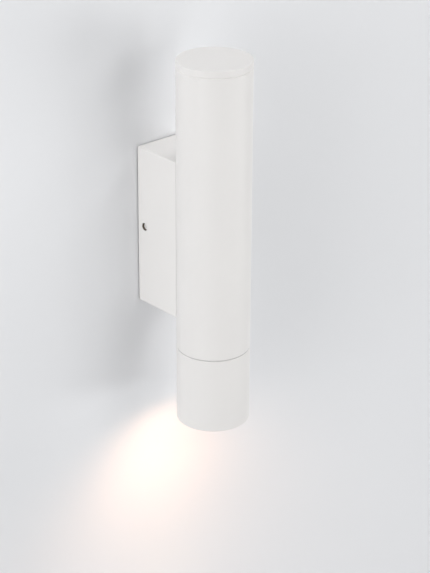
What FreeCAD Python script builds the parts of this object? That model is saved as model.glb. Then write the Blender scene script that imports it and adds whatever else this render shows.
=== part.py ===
# Tube wall light: a round tube on a saddle-cut wall box, lit downwards by one twist-lock lamp.
# Millimetres. X runs to the right along the wall, Y into the wall and Z up. The origin is the
# centre of the box on the wall face, and the tube's axis stands at Y = -axis_reach.

import FreeCAD, Part
import math
import os
import re
import Sketcher
from FreeCAD import Placement, Rotation, Vector

os.makedirs("parts", exist_ok=True)
doc = FreeCAD.newDocument("TubeWallLight")

# Driving dimensions, in millimetres and degrees

dimensions = {
    # how far a cut runs past what it cuts, and a joined piece into what it joins
    "overrun": 1,
    # tube, cap and sleeve
    "tube_room": 5,
    "tube_wall": 2.5,
    "axis_reach": 67,
    "crown_above": 152.5,
    "rim_below": 156.5,
    "cap_height": 5.8,
    "cap_spigot": 11,
    "cap_skin": 3,
    "cap_round": 0.6,
    "slip_fit": 0.1,
    "edge_break": 0.45,
    "ring_section": 1.6,
    "ring_squeeze": 0.05,
    "groove_width": 2.2,
    "sleeve_height": 64,
    "rim_round": 0.7,
    "seam_height": 1,
    "seam_seat": 0.05,
    "seam_recess": 0.45,
    # carrier with the sleeve's thread
    "thread_inset": 1.75,
    "thread_length": 10,
    "thread_relief": 1.5,
    "thread_fit": 0.06,
    "lamp_clearance": 0.8,
    "carrier_web": 3,
    "carrier_cover": 8,
    "carrier_wall": 4,
    # wall box
    "box_width": 45,
    "box_height": 135,
    "box_wall": 2.5,
    "box_round": 0.8,
    "inner_round": 2,
    "saddle_wall": 3,
    "saddle_fit": 0.1,
    "boss_rise": 0.9,
    "boss_root": 2.4,
    "gasket_thickness": 0.8,
    "gasket_inset": 0.8,
    # wall bracket
    "bracket_thickness": 1.5,
    "bracket_gap": 0.2,
    "bracket_height": 126,
    "bracket_round": 3,
    "ear_reach": 14,
    "ear_height": 18,
    "ear_bend": 1,
    "notch_width": 1.5,
    "notch_depth": 3,
    "collar_diameter": 6.4,
    "collar_length": 1.5,
    "collar_root": 0.2,
    "slot_spacing": 96,
    "slot_length": 12,
    "slot_width": 5,
    "side_screw_reach": 8.4,
    "side_screw_hole": 6.5,
    # M4 screws
    "screw_diameter": 3.9,
    "screw_fit": 0.05,
    "screw_clearance": 0.25,
    "side_head_diameter": 5,
    "side_head_height": 1,
    "side_screw_length": 4.5,
    "side_socket": 2.5,
    "socket_share": 0.7,
    "pan_head_diameter": 7,
    "pan_head_height": 2.6,
    "fixing_spacing": 116,
    "fixing_length": 12,
    "washer_diameter": 9,
    "washer_thickness": 0.8,
    "nut_height": 16,
    "nut_depth": 4,
    "nut_sweep": 36,
    "boss_diameter": 11,
    # supply entry and terminals
    "entry_height": 24,
    "entry_hole": 16,
    "entry_bore": 9,
    "entry_flange": 21,
    "entry_lip": 2,
    "entry_length": 8,
    "entry_nose": 1,
    "block_middle": -3,
    "block_height": 17,
    "block_depth": 13.5,
    "pole_pitch": 8.5,
    "pole_depth": 5.6,
    "pole_diameter": 7.8,
    "pole_foot": 7,
    "chimney_diameter": 6.2,
    "chimney_offset": 4.2,
    "chimney_bore": 3.6,
    "web_height": 9,
    "web_depth": 4,
    "peg_diameter": 3,
    "peg_spacing": 13,
    "barrel_diameter": 5,
    "barrel_length": 13,
    "barrel_bore": 3.2,
    "clamp_screw": 2.9,
    "clamp_head": 3.4,
    "clamp_gap": 0.2,
    "driver_slot_width": 0.7,
    "driver_slot_depth": 1.2,
    # earth, bush and leads
    "earth_height": 12,
    "earth_length": 8,
    "earth_boss": 10,
    "lug_diameter": 7.8,
    "lug_thickness": 0.8,
    "lug_neck": 3,
    "lug_drop": 7,
    "lug_barrel": 3.6,
    "lug_barrel_length": 6,
    "lug_root": 1,
    "bush_height": -28,
    "bush_hole": 11,
    "bush_boss": 16,
    "bush_flange": 14.8,
    "bush_flange_thickness": 1.6,
    "bush_lip": 12.4,
    "bush_lip_length": 1.6,
    "bush_taper": 0.8,
    "bush_bore": 6,
    "lead_diameter": 2,
    "lead_spread": 1.3,
    "lead_fit": 0.05,
    "pole_insertion": 3,
    "lug_insertion": 2.5,
    "receptacle_insertion": 8,
    "lead_drop": 11,
    "lead_approach": 11,
    "lead_exit": 19,
    "lead_rise": 22,
    "earth_drop": 8,
    "earth_swing": 12.5,
    "earth_fall": 13,
    # lamp
    "lamp_recess": 8,
    "lamp_length": 47,
    "lamp_diameter": 50,
    "bezel_height": 4.2,
    "bezel_step": 0.8,
    "bezel_width": 2.5,
    "lens_edge": 1.6,
    "lens_crown": 0.8,
    "lens_recess": 2.6,
    "lamp_neck": 26.8,
    "neck_height": 12,
    "shoulder_height": 14,
    "shoulder_diameter": 33,
    "lamp_bulge": 60,
    "pin_spacing": 10,
    "pin_shank": 3,
    "pin_head": 5,
    "pin_length": 7.2,
    "pin_head_height": 3,
    "twist_angle": 30,
    # lampholder
    "holder_gap": 0.3,
    "holder_diameter": 28,
    "holder_height": 12.7,
    "holder_face_height": 3.2,
    "holder_back_height": 3,
    "key_fit": 0.25,
    "entry_fit": 0.35,
    "cavity_inner": 1.4,
    "cavity_outer": 9.3,
    "cavity_ahead": 3.1,
    "cavity_behind": 5.5,
    "holder_screw": 2.9,
    "holder_screw_spacing": 20.4,
    "holder_screw_length": 14.9,
    "holder_head": 5.5,
    "holder_head_height": 2.4,
    "holder_sink": 3,
    "tab_spacing": 16.8,
    "tab_width": 4.8,
    "tab_thickness": 0.8,
    "tab_height": 18.4,
    "tab_fit": 0.1,
    "tab_hole": 6.4,
    "blade_gap": 0.4,
    "blade_thickness": 0.6,
    "blade_reach": 5.6,
    "receptacle_diameter": 6.8,
    "receptacle_length": 14,
    "receptacle_slot": 5.5,
    "receptacle_lift": 2,
}

sheet = doc.addObject("Spreadsheet::Sheet", "Dims")
for row, (alias, amount) in enumerate(dimensions.items(), start=1):
    sheet.set(f"A{row}", str(amount))
    sheet.setAlias(f"A{row}", alias)
doc.recompute()

# Levels and radii that several pieces share, as formulas on the sheet

tube_radius = "(lamp_diameter / 2 + tube_room)"
tube_bore = f"({tube_radius} - tube_wall)"
push_radius = f"({tube_bore} - slip_fit)"
thread_radius = f"({tube_radius} - thread_inset)"
carrier_bore = "(lamp_diameter / 2 + lamp_clearance)"
sleeve_top = "(sleeve_height - rim_below)"
tube_foot = f"({sleeve_top} + seam_height)"
tube_top = "(crown_above - cap_height)"
thread_foot = f"({tube_foot} - thread_length)"
saddle_radius = f"({tube_radius} + saddle_fit)"
inner_saddle = f"({saddle_radius} + saddle_wall)"
seat_depth = f"(axis_reach - {inner_saddle} - boss_rise)"
box_inside = "(box_width / 2 - box_wall)"
box_inside_height = "(box_height / 2 - box_wall)"
ear_face = f"({box_inside} - bracket_gap)"
fixing_level = "(fixing_spacing / 2)"
screw_radius = "(screw_diameter / 2)"
tapped_radius = f"({screw_radius} + screw_fit)"
through_radius = f"({screw_radius} + screw_clearance)"
lamp_face = "(lamp_recess - rim_below)"
lamp_base = f"({lamp_face} + lamp_length)"
holder_face = f"({lamp_base} + holder_gap)"
holder_joint = f"({holder_face} + holder_height)"
web_foot = f"({holder_joint} + holder_back_height)"
web_top = f"({web_foot} + carrier_web)"
pin_top = f"({lamp_base} + pin_length)"
pole_axis = "(bracket_thickness + pole_depth)"
lead_radius = "(lead_diameter / 2)"
wall_centre = "-axis_reach"


def formula(text):
    # a formula in the sheet's own names, such as "lamp_diameter / 2"
    return re.sub(r"[a-z_]+", lambda word: "Dims." + word[0] if word[0] in dimensions else word[0], text)


def size(text):
    return float(sheet.evalExpression(formula(text)))


def bind(item, property_name, text):
    item.setExpression(property_name, formula(text))


# Bodies, sketches and features

parts = []


def new_body(label, y="0"):
    body = doc.addObject("PartDesign::Body", label)
    body.Label = label
    bind(body, "Placement.Base.y", y)
    parts.append(body)
    return body


def new_sketch(body, role, lift="0"):
    # roles: XY_Plane seen from above, XZ_Plane facing -Y, YZ_Plane facing +X
    sketch = body.newObject("Sketcher::SketchObject", f"{body.Label}_sketch")
    base = next(item for item in body.Origin.OriginFeatures if item.Role == role)
    sketch.AttachmentSupport = (base, [""])
    sketch.MapMode = "FlatFace"
    bind(sketch, "AttachmentOffset.Base.z", lift)
    return sketch


def constrain(sketch, text, kind, *where):
    index = sketch.addConstraint(Sketcher.Constraint(kind, *where, size(text)))
    sketch.setExpression(f"Constraints[{index}]", formula(text))


def pin(sketch, shape, point, x, y):
    constrain(sketch, x, "DistanceX", -1, 1, shape, point)
    constrain(sketch, y, "DistanceY", -1, 1, shape, point)


def circle(sketch, x, y, radius):
    centre = Vector(size(x), size(y), 0)
    shape = sketch.addGeometry(Part.Circle(centre, Vector(0, 0, 1), size(radius)), False)
    pin(sketch, shape, 3, x, y)
    constrain(sketch, radius, "Radius", shape)


def outline(sketch, corners, bends=None):
    # corners run anticlockwise; bends gives the radius of a side that bulges outwards
    bends = bends or {}
    points = [Vector(size(x), size(y), 0) for x, y in corners]
    first = len(sketch.Geometry)
    count = len(points)
    for side, start in enumerate(points):
        end = points[(side + 1) % count]
        if side in bends:
            sketch.addGeometry(bulge(start, end, size(bends[side])), False)
        else:
            sketch.addGeometry(Part.LineSegment(start, end), False)
    for side, (x, y) in enumerate(corners):
        sketch.addConstraint(Sketcher.Constraint(
            "Coincident", first + side, 2, first + (side + 1) % count, 1))
        pin(sketch, first + side, 1, x, y)
    for side, radius in bends.items():
        constrain(sketch, radius, "Radius", first + side)


def bulge(start, end, radius):
    # the short arc of this radius that runs anticlockwise from start to end
    chord = end - start
    inward = Vector(-chord.y, chord.x, 0).normalize()
    rise = math.sqrt(radius ** 2 - (chord.Length / 2) ** 2)
    centre = start + chord / 2 + inward * rise
    angles = [math.atan2(point.y - centre.y, point.x - centre.x) for point in (start, end)]
    return Part.ArcOfCircle(Part.Circle(centre, Vector(0, 0, 1), radius), *angles)


def rectangle(sketch, left, right, low, high):
    outline(sketch, [(left, low), (right, low), (right, high), (left, high)])


def extrude(kind, sketch, length, both_ways=False, reverse=False):
    # a pad or a pocket, with a check that it changed the solid the way it should
    body = sketch.getParentGeoFeatureGroup()
    doc.recompute()
    before = body.Shape.Volume if body.Tip else 0
    feature = body.newObject(f"PartDesign::{kind}", f"{body.Label}_{kind.lower()}")
    feature.Profile = sketch
    bind(feature, "Length", length)
    feature.SideType = "Symmetric" if both_ways else "One side"
    feature.Reversed = reverse
    doc.recompute()
    grown = body.Shape.Volume - before
    if abs(grown) < 0.01 or (grown > 0) != (kind == "Pad"):
        raise ValueError(f"{feature.Label} changed nothing")
    return feature


def pad(sketch, length, **options):
    return extrude("Pad", sketch, length, **options)


def pocket(sketch, length, **options):
    return extrude("Pocket", sketch, length, **options)


def revolve(sketch, angle="360", both_ways=False):
    body = sketch.getParentGeoFeatureGroup()
    feature = body.newObject("PartDesign::Revolution", f"{body.Label}_turned")
    feature.Profile = sketch
    feature.ReferenceAxis = (sketch, ["V_Axis"])
    bind(feature, "Angle", angle)
    feature.Midplane = both_ways
    doc.recompute()
    return feature


def dress(kind, feature, amount, chosen):
    # fillets or chamfers the edges of a feature that the test picks
    body = feature.getParentGeoFeatureGroup()
    names = [f"Edge{number}" for number, edge in enumerate(feature.Shape.Edges, start=1) if chosen(edge)]
    if not names:
        raise ValueError(f"{body.Label} has no such edge")
    finish = body.newObject(f"PartDesign::{kind}", f"{body.Label}_{kind.lower()}")
    finish.Base = (feature, names)
    bind(finish, "Radius" if kind == "Fillet" else "Size", amount)
    doc.recompute()
    return finish


def is_ring(edge, radius, level):
    # a full circle round the Z axis
    if not isinstance(edge.Curve, Part.Circle) or abs(edge.Curve.Axis.z) < 0.999:
        return False
    return abs(edge.Curve.Radius - size(radius)) < 0.01 and abs(edge.Curve.Center.z - size(level)) < 0.01


def is_straight_along(edge, axis):
    return isinstance(edge.Curve, Part.Line) and abs(edge.tangentAt(edge.FirstParameter).dot(axis)) > 0.999


# Primitives and booleans

along_x = Rotation(Vector(0, 1, 0), 90)
along_minus_x = Rotation(Vector(0, 1, 0), -90)
along_minus_y = Rotation(Vector(1, 0, 0), 90)
upright = Rotation()


def place(item, x="0", y="0", z="0", turn=upright):
    item.Placement = Placement(Vector(), turn)
    for axis, text in zip("xyz", (x, y, z)):
        bind(item, f"Placement.Base.{axis}", text)
    return item


def primitive(kind, sizes, x="0", y="0", z="0", turn=upright):
    item = doc.addObject(f"Part::{kind}", f"{kind}_stock")
    for property_name, text in sizes.items():
        bind(item, property_name, text)
    return place(item, x, y, z, turn)


def rod(radius, length, x="0", y="0", z="0", turn=upright):
    return primitive("Cylinder", {"Radius": radius, "Height": length}, x, y, z, turn)


def block(width, depth, height, x="0", y="0", z="0"):
    # x, y and z are the corner with the lowest values
    return primitive("Box", {"Length": width, "Width": depth, "Height": height}, x, y, z)


def fuse(items):
    joined = doc.addObject("Part::MultiFuse", "fused_stock")
    joined.Shapes = items
    return joined


def cut(base, tool):
    result = doc.addObject("Part::Cut", "cut_stock")
    result.Base = base
    result.Tool = tool
    return result


def finish_part(item, label):
    item.Label = label
    parts.append(item)
    return item


def group(items, label):
    # identical loose pieces under one name
    bunch = doc.addObject("Part::Compound", label)
    bunch.Links = items
    return finish_part(bunch, label)


def screw(head_radius, head_height, shank_radius, length, socket, x, y, z, turn):
    # the head's seat is at the given place, the shank runs along the turned Z axis
    head = rod(head_radius, head_height, z=f"-({head_height})")
    shank = rod(shank_radius, length)
    key = primitive("Prism", {"Circumradius": socket, "Height": f"({head_height}) * socket_share"},
                    z=f"-({head_height})")
    return place(cut(fuse([head, shank]), key), x, y, z, turn)


# Pieces at the wall

def make_gasket():
    body = new_body("wall_gasket")
    sketch = new_sketch(body, "XZ_Plane")
    half_width = "(box_width / 2 - gasket_inset)"
    half_height = "(box_height / 2 - gasket_inset)"
    rectangle(sketch, f"-{half_width}", half_width, f"-{half_height}", half_height)
    rectangle(sketch, f"-{box_inside}", box_inside, f"-{box_inside_height}", box_inside_height)
    pad(sketch, "gasket_thickness")


def make_bracket():
    # pressed steel plate with two bent ears; the ears are tapped for the side screws
    body = new_body("wall_bracket")
    plate = new_sketch(body, "XZ_Plane")
    rectangle(plate, f"-{ear_face}", ear_face, "-bracket_height / 2", "bracket_height / 2")
    flat = pad(plate, "bracket_thickness")
    dress("Fillet", flat, "bracket_round", lambda edge: is_straight_along(edge, Vector(0, 1, 0)))

    ears = new_sketch(body, "XY_Plane")
    inner_face = f"({ear_face} - bracket_thickness)"
    rectangle(ears, inner_face, ear_face, "-ear_reach", "0")
    rectangle(ears, f"-{ear_face}", f"-{inner_face}", "-ear_reach", "0")
    pad(ears, "ear_height", both_ways=True)

    notches = new_sketch(body, "XZ_Plane")
    for low in ("ear_height / 2", "-ear_height / 2 - notch_width"):
        high = f"{low} + notch_width"
        rectangle(notches, f"{ear_face} - notch_depth", f"{ear_face} + overrun", low, high)
        rectangle(notches, f"-{ear_face} - overrun", f"-{ear_face} + notch_depth", low, high)
    notched = pocket(notches, "bracket_thickness", reverse=True)

    ear_half = size("ear_height / 2")
    corners = {size(ear_face): 0, size(inner_face): size("-bracket_thickness")}

    def at_bend(edge, x):
        middle = edge.CenterOfMass
        level = abs(middle.y - corners[x]) < 0.01
        return is_straight_along(edge, Vector(0, 0, 1)) and level and (
            abs(abs(middle.x) - x) < 0.01 and abs(middle.z) < ear_half / 2)

    inside = dress("Fillet", notched, "ear_bend", lambda edge: at_bend(edge, size(inner_face)))
    dress("Fillet", inside, "ear_bend + bracket_thickness", lambda edge: at_bend(edge, size(ear_face)))

    for lift in (f"{inner_face} - collar_length", f"-{inner_face} - collar_root"):
        collar = new_sketch(body, "YZ_Plane", lift)
        circle(collar, "-side_screw_reach", "0", "collar_diameter / 2")
        pad(collar, "collar_length + collar_root")
    threads = new_sketch(body, "YZ_Plane")
    circle(threads, "-side_screw_reach", "0", tapped_radius)
    pocket(threads, "box_width", both_ways=True)

    holes = new_sketch(body, "XZ_Plane")
    circle(holes, "0", "entry_height", "entry_hole / 2")
    slot_run = "(slot_length / 2 - slot_width / 2)"
    for middle in ("slot_spacing / 2", "-slot_spacing / 2"):
        rectangle(holes, "-slot_width / 2", "slot_width / 2",
                  f"{middle} - {slot_run}", f"{middle} + {slot_run}")
    for side in ("-peg_spacing / 2", "peg_spacing / 2"):
        circle(holes, side, "block_middle", "peg_diameter / 2 + slip_fit")
    pocket(holes, "bracket_thickness", reverse=True)
    ends = new_sketch(body, "XZ_Plane")
    for middle in ("slot_spacing / 2", "-slot_spacing / 2"):
        circle(ends, "0", f"{middle} - {slot_run}", "slot_width / 2")
        circle(ends, "0", f"{middle} + {slot_run}", "slot_width / 2")
    pocket(ends, "bracket_thickness", reverse=True)


def make_grommet():
    # soft entry for the supply cable, flush with the wall face
    body = new_body("cable_grommet")
    body.Placement = Placement(Vector(), along_minus_y)
    bind(body, "Placement.Base.z", "entry_height")
    sketch = new_sketch(body, "XZ_Plane")
    neck = "(entry_hole / 2 - slip_fit)"
    outline(sketch, [
        ("entry_bore / 2", "seam_seat"),
        (neck, "seam_seat"),
        (neck, "bracket_thickness"),
        ("entry_flange / 2", "bracket_thickness"),
        ("entry_flange / 2", "bracket_thickness + entry_lip"),
        (neck, "bracket_thickness + entry_lip"),
        ("entry_bore / 2 + entry_nose", "entry_length"),
        ("entry_bore / 2", "entry_length"),
    ])
    revolve(sketch)


# Supply terminals: three poles in a row

pole_places = ("-pole_pitch", "0", "pole_pitch")
chimney_levels = ("block_middle - chimney_offset", "block_middle + chimney_offset")


def make_terminal_block():
    foot = "block_middle - block_height / 2"
    solids = []
    hollows = []
    for x in pole_places:
        solids.append(rod("pole_diameter / 2", "block_height", x, f"-{pole_axis}", foot))
        solids.append(block("pole_foot", "pole_depth", "block_height",
                            f"{x} - pole_foot / 2", f"-{pole_axis}", foot))
        barrel_foot = "block_middle - barrel_length / 2 - slip_fit"
        hollows.append(rod("barrel_bore / 2 + slip_fit", "block_height", x, f"-{pole_axis}", foot))
        hollows.append(rod("barrel_diameter / 2 + screw_fit", "barrel_length + 2 * slip_fit",
                           x, f"-{pole_axis}", barrel_foot))
        for z in chimney_levels:
            tower = "block_depth - pole_depth"
            solids.append(rod("chimney_diameter / 2", tower, x, f"-{pole_axis}", z, along_minus_y))
            hollows.append(rod("chimney_bore / 2", tower, x, f"-{pole_axis}", z, along_minus_y))
    solids.append(block("2 * pole_pitch", "web_depth", "web_height", "-pole_pitch",
                        "-bracket_thickness - web_depth", "block_middle - web_height / 2"))
    for side in ("-peg_spacing / 2", "peg_spacing / 2"):
        solids.append(rod("peg_diameter / 2", "bracket_thickness + overrun", side, "-seam_seat",
                          "block_middle", along_minus_y))
    finish_part(cut(fuse(solids), fuse(hollows)), "terminal_block")


def make_terminal_barrels():
    barrels = []
    for x in pole_places:
        stock = rod("barrel_diameter / 2", "barrel_length", x, f"-{pole_axis}",
                    "block_middle - barrel_length / 2")
        hollows = [rod("barrel_bore / 2", "barrel_length", x, f"-{pole_axis}",
                       "block_middle - barrel_length / 2")]
        for z in chimney_levels:
            hollows.append(rod("clamp_screw / 2 + screw_fit", "barrel_diameter", x, f"-{pole_axis}", z,
                               along_minus_y))
        barrels.append(cut(stock, fuse(hollows)))
    group(barrels, "terminal_barrels")


def make_terminal_screws():
    screws = []
    tip = f"({pole_axis} + {lead_radius} + clamp_gap)"
    seat = f"({pole_axis} + barrel_diameter / 2 + clamp_gap)"
    head_top = "(bracket_thickness + block_depth - driver_slot_depth)"
    for x in pole_places:
        for z in chimney_levels:
            shank = rod("clamp_screw / 2", f"{seat} - {tip}", x, f"-{tip}", z, along_minus_y)
            head = rod("clamp_head / 2", f"{head_top} - {seat}", x, f"-{seat}", z, along_minus_y)
            slot = block("driver_slot_width", "driver_slot_depth", "clamp_head",
                         f"{x} - driver_slot_width / 2", f"-{head_top}", f"{z} - clamp_head / 2")
            screws.append(cut(fuse([shank, head]), slot))
    group(screws, "terminal_screws")


# Wall box and what fixes the tube to it

def make_housing():
    # a cast box, open to the wall; its front is cut to the tube and keeps an even wall there
    body = new_body("box_housing")
    face = new_sketch(body, "XZ_Plane", "gasket_thickness")
    rectangle(face, "-box_width / 2", "box_width / 2", "-box_height / 2", "box_height / 2")
    stock = pad(face, "axis_reach - gasket_thickness")
    dress("Fillet", stock, "box_round", lambda edge: is_straight_along(edge, Vector(0, 1, 0)))

    saddle = new_sketch(body, "XY_Plane")
    circle(saddle, "0", wall_centre, saddle_radius)
    pocket(saddle, "box_height + 2 * overrun", both_ways=True)

    inside = new_sketch(body, "XY_Plane")
    reach = f"(sqrt({inner_saddle} ^ 2 - {box_inside} ^ 2) - axis_reach)"
    corners = [(box_inside, "0"), (box_inside, reach), (f"-{box_inside}", reach), (f"-{box_inside}", "0")]
    inside_outline(inside, corners)
    hollow = pocket(inside, f"2 * {box_inside_height}", both_ways=True)
    depth = size(reach)

    def at_front_corner(edge):
        middle = edge.CenterOfMass
        level = abs(middle.y - depth) < 0.01
        return is_straight_along(edge, Vector(0, 0, 1)) and level and (
            abs(abs(middle.x) - size(box_inside)) < 0.01)

    dress("Fillet", hollow, "inner_round", at_front_corner)

    bosses = new_sketch(body, "XZ_Plane", seat_depth)
    for level in (fixing_level, f"-{fixing_level}"):
        circle(bosses, "0", level, "boss_diameter / 2")
    circle(bosses, "0", "earth_height", "earth_boss / 2")
    circle(bosses, "0", "bush_height", "bush_boss / 2")
    pad(bosses, "boss_root")

    holes = new_sketch(body, "XZ_Plane", seat_depth)
    for level in (fixing_level, f"-{fixing_level}"):
        circle(holes, "0", level, through_radius)
    circle(holes, "0", "earth_height", through_radius)
    circle(holes, "0", "bush_height", "bush_hole / 2")
    pocket(holes, "boss_rise + saddle_wall + overrun", reverse=True)

    side_holes = new_sketch(body, "YZ_Plane")
    circle(side_holes, "-side_screw_reach", "0", "side_screw_hole / 2")
    pocket(side_holes, "box_width + 2 * overrun", both_ways=True)


def inside_outline(sketch, corners):
    # the box's plan inside: straight walls and the arc that follows the tube
    radius = inner_saddle
    points = [Vector(size(x), size(y), 0) for x, y in corners]
    centre = Vector(0, size(wall_centre), 0)
    angles = [math.atan2(point.y - centre.y, point.x) for point in points[1:3]]
    sketch.addGeometry(Part.LineSegment(points[0], points[1]), False)
    sketch.addGeometry(Part.ArcOfCircle(Part.Circle(centre, Vector(0, 0, 1), size(radius)), *angles), False)
    sketch.addGeometry(Part.LineSegment(points[2], points[3]), False)
    sketch.addGeometry(Part.LineSegment(points[3], points[0]), False)
    for side, (x, y) in enumerate(corners):
        sketch.addConstraint(Sketcher.Constraint("Coincident", side, 2, (side + 1) % 4, 1))
        pin(sketch, side, 1, x, y)
    constrain(sketch, radius, "Radius", 1)


def make_side_screws():
    screws = []
    for side, turn in (("-", along_x), ("", along_minus_x)):
        screws.append(screw("side_head_diameter / 2", "side_head_height", screw_radius, "side_screw_length",
                            "side_socket / 2", f"{side}{ear_face}", "-side_screw_reach", "0", turn))
    group(screws, "side_screws")


def make_tube_screws():
    screws = []
    washers = []
    for level in (fixing_level, f"-{fixing_level}"):
        seat = f"-{seat_depth} + washer_thickness"
        screws.append(screw("pan_head_diameter / 2", "pan_head_height", screw_radius, "fixing_length",
                            "side_socket / 2", "0", seat, level, along_minus_y))
        disc = rod("washer_diameter / 2", "washer_thickness", "0", seat, level, along_minus_y)
        hole = rod(through_radius, "washer_thickness", "0", seat, level, along_minus_y)
        washers.append(cut(disc, hole))
    group(screws, "tube_screws")
    group(washers, "tube_washers")


def make_tube_nut():
    # curved clamp bar inside the tube, tapped for the upper fixing screw
    body = new_body("tube_nut", wall_centre)
    section = new_sketch(body, "YZ_Plane")
    outer = f"({tube_bore} - screw_fit)"
    rectangle(section, f"{outer} - nut_depth", outer, f"{fixing_level} - nut_height / 2",
              f"{fixing_level} + nut_height / 2")
    revolve(section, "nut_sweep", both_ways=True)
    hole = new_sketch(body, "XZ_Plane")
    circle(hole, "0", fixing_level, tapped_radius)
    pocket(hole, tube_radius)


# Earth connection, bush and leads

def make_earth_screw():
    finish_part(screw("pan_head_diameter / 2", "pan_head_height", screw_radius, "earth_length",
                      "side_socket / 2", "0", f"-{seat_depth} + lug_thickness", "earth_height",
                      along_minus_y), "earth_screw")


lug_axis = f"({seat_depth} - lug_barrel / 2 + seam_seat)"
lug_top = "(earth_height - lug_drop)"
lug_foot = f"({lug_top} - lug_barrel_length + lug_root)"


def make_earth_lug():
    seat = f"-{seat_depth} + lug_thickness"
    ring = rod("lug_diameter / 2", "lug_thickness", "0", seat, "earth_height", along_minus_y)
    neck = block("lug_neck", "lug_thickness", "lug_drop", "-lug_neck / 2", f"-{seat_depth}", lug_top)
    barrel = rod("lug_barrel / 2", "lug_barrel_length", "0", f"-{lug_axis}", lug_foot)
    eye = rod(through_radius, "lug_thickness + overrun", "0", f"{seat} + overrun / 2", "earth_height",
              along_minus_y)
    bore = rod(f"{lead_radius} + lead_fit", "lug_barrel_length", "0", f"-{lug_axis}",
               f"{lug_foot} - lug_root")
    finish_part(cut(fuse([ring, neck, barrel]), fuse([eye, bore])), "earth_lug")


def make_lead_bush():
    body = new_body("lead_bush")
    body.Placement = Placement(Vector(), along_minus_y)
    bind(body, "Placement.Base.y", f"-{seat_depth}")
    bind(body, "Placement.Base.z", "bush_height")
    sketch = new_sketch(body, "XZ_Plane")
    neck = "(bush_hole / 2 - slip_fit)"
    # the lip lies behind the tube's wall, where that curves away from the flat seat
    lip_seat = f"(axis_reach - {seat_depth} - sqrt({tube_bore} ^ 2 - (bush_lip / 2) ^ 2) + slip_fit)"
    outline(sketch, [
        ("bush_bore / 2", "-bush_flange_thickness"),
        ("bush_flange / 2", "-bush_flange_thickness"),
        ("bush_flange / 2", "0"),
        (neck, "0"),
        (neck, lip_seat),
        ("bush_lip / 2", lip_seat),
        (f"{neck} - bush_taper", f"{lip_seat} + bush_lip_length"),
        ("bush_bore / 2", f"{lip_seat} + bush_lip_length"),
    ])
    revolve(sketch)


def make_lead(label, route):
    # straight runs joined by tangent arcs, each as large as its two runs allow
    edges = []
    radii = []
    corner_share = 0.45
    here = route[0]
    for before, corner, after in zip(route, route[1:], route[2:]):
        incoming = corner - before
        outgoing = after - corner
        half_turn = incoming.getAngle(outgoing) / 2
        setback = corner_share * min(incoming.Length, outgoing.Length)
        arc_start = corner - incoming.normalize() * setback
        arc_end = corner + outgoing.normalize() * setback
        radius = setback / math.tan(half_turn)
        sideways = (outgoing - incoming).normalize()
        middle = corner + sideways * (radius / math.cos(half_turn) - radius)
        edges.append(Part.LineSegment(here, arc_start).toShape())
        edges.append(Part.Arc(arc_start, middle, arc_end).toShape())
        radii.append(radius)
        here = arc_end
    edges.append(Part.LineSegment(here, route[-1]).toShape())
    path = Part.Wire(edges)
    section = Part.Wire(Part.makeCircle(size(lead_radius), route[0], route[1] - route[0]))
    lead = doc.addObject("Part::Feature", label)
    lead.Shape = path.makePipeShell([section], True, False)
    lead.Placement = Placement()
    share = lead.Shape.Volume / (math.pi * size(lead_radius) ** 2 * path.Length)
    tightest = min(radii)
    print(f"{label}: length {path.Length:.1f}, tightest radius {tightest:.1f}, volume share {share:.4f}")
    if abs(share - 1) > 0.01:
        raise ValueError(f"{label} has a wrong volume")
    finish_part(lead, label)


def make_leads():
    pole_start = Vector(0, -size(pole_axis), size("block_middle - barrel_length / 2 + pole_insertion"))
    below_block = size("block_middle - block_height / 2")
    bush = Vector(0, -size(seat_depth), size("bush_height"))
    tab_reach = size("tab_spacing / 2")
    tab_level = size(f"{web_top} + receptacle_lift + receptacle_insertion")
    for label, side in (("live_lead", -1), ("neutral_lead", 1)):
        pole = Vector(side * size("pole_pitch"), 0, 0)
        spread = Vector(side * size("lead_spread"), 0, 0)
        tab = Vector(side * tab_reach, size(wall_centre), tab_level)
        make_lead(label, [
            pole_start + pole,
            Vector(0, pole_start.y, below_block - size("lead_drop")) + pole,
            bush + spread + Vector(0, size("lead_approach"), 0),
            bush + spread - Vector(0, size("lead_exit"), 0),
            tab + Vector(0, 0, size("lead_rise")),
            tab,
        ])
    lug = Vector(0, -size(lug_axis), size(lug_foot))
    fall = size("earth_fall")
    make_lead("earth_lead", [
        pole_start,
        Vector(0, pole_start.y, below_block - size("earth_drop")),
        Vector(0, pole_start.y - size("earth_swing"), below_block - fall),
        Vector(0, lug.y, lug.z - fall),
        lug + Vector(0, 0, size("lug_insertion")),
    ])


# Tube, cap and carrier

def make_upper_tube():
    body = new_body("upper_tube", wall_centre)
    section = new_sketch(body, "XZ_Plane")
    outline(section, [
        (tube_bore, tube_foot),
        (f"{tube_radius} - edge_break", tube_foot),
        (tube_radius, f"{tube_foot} + edge_break"),
        (tube_radius, f"{tube_top} - edge_break"),
        (f"{tube_radius} - edge_break", tube_top),
        (tube_bore, tube_top),
    ])
    revolve(section)
    rear = new_sketch(body, "XZ_Plane")
    for level in (fixing_level, f"-{fixing_level}"):
        circle(rear, "0", level, through_radius)
    circle(rear, "0", "earth_height", tapped_radius)
    circle(rear, "0", "bush_height", "bush_hole / 2")
    pocket(rear, f"{tube_radius} + overrun")


spigot_foot = f"({tube_top} - cap_spigot)"


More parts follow.
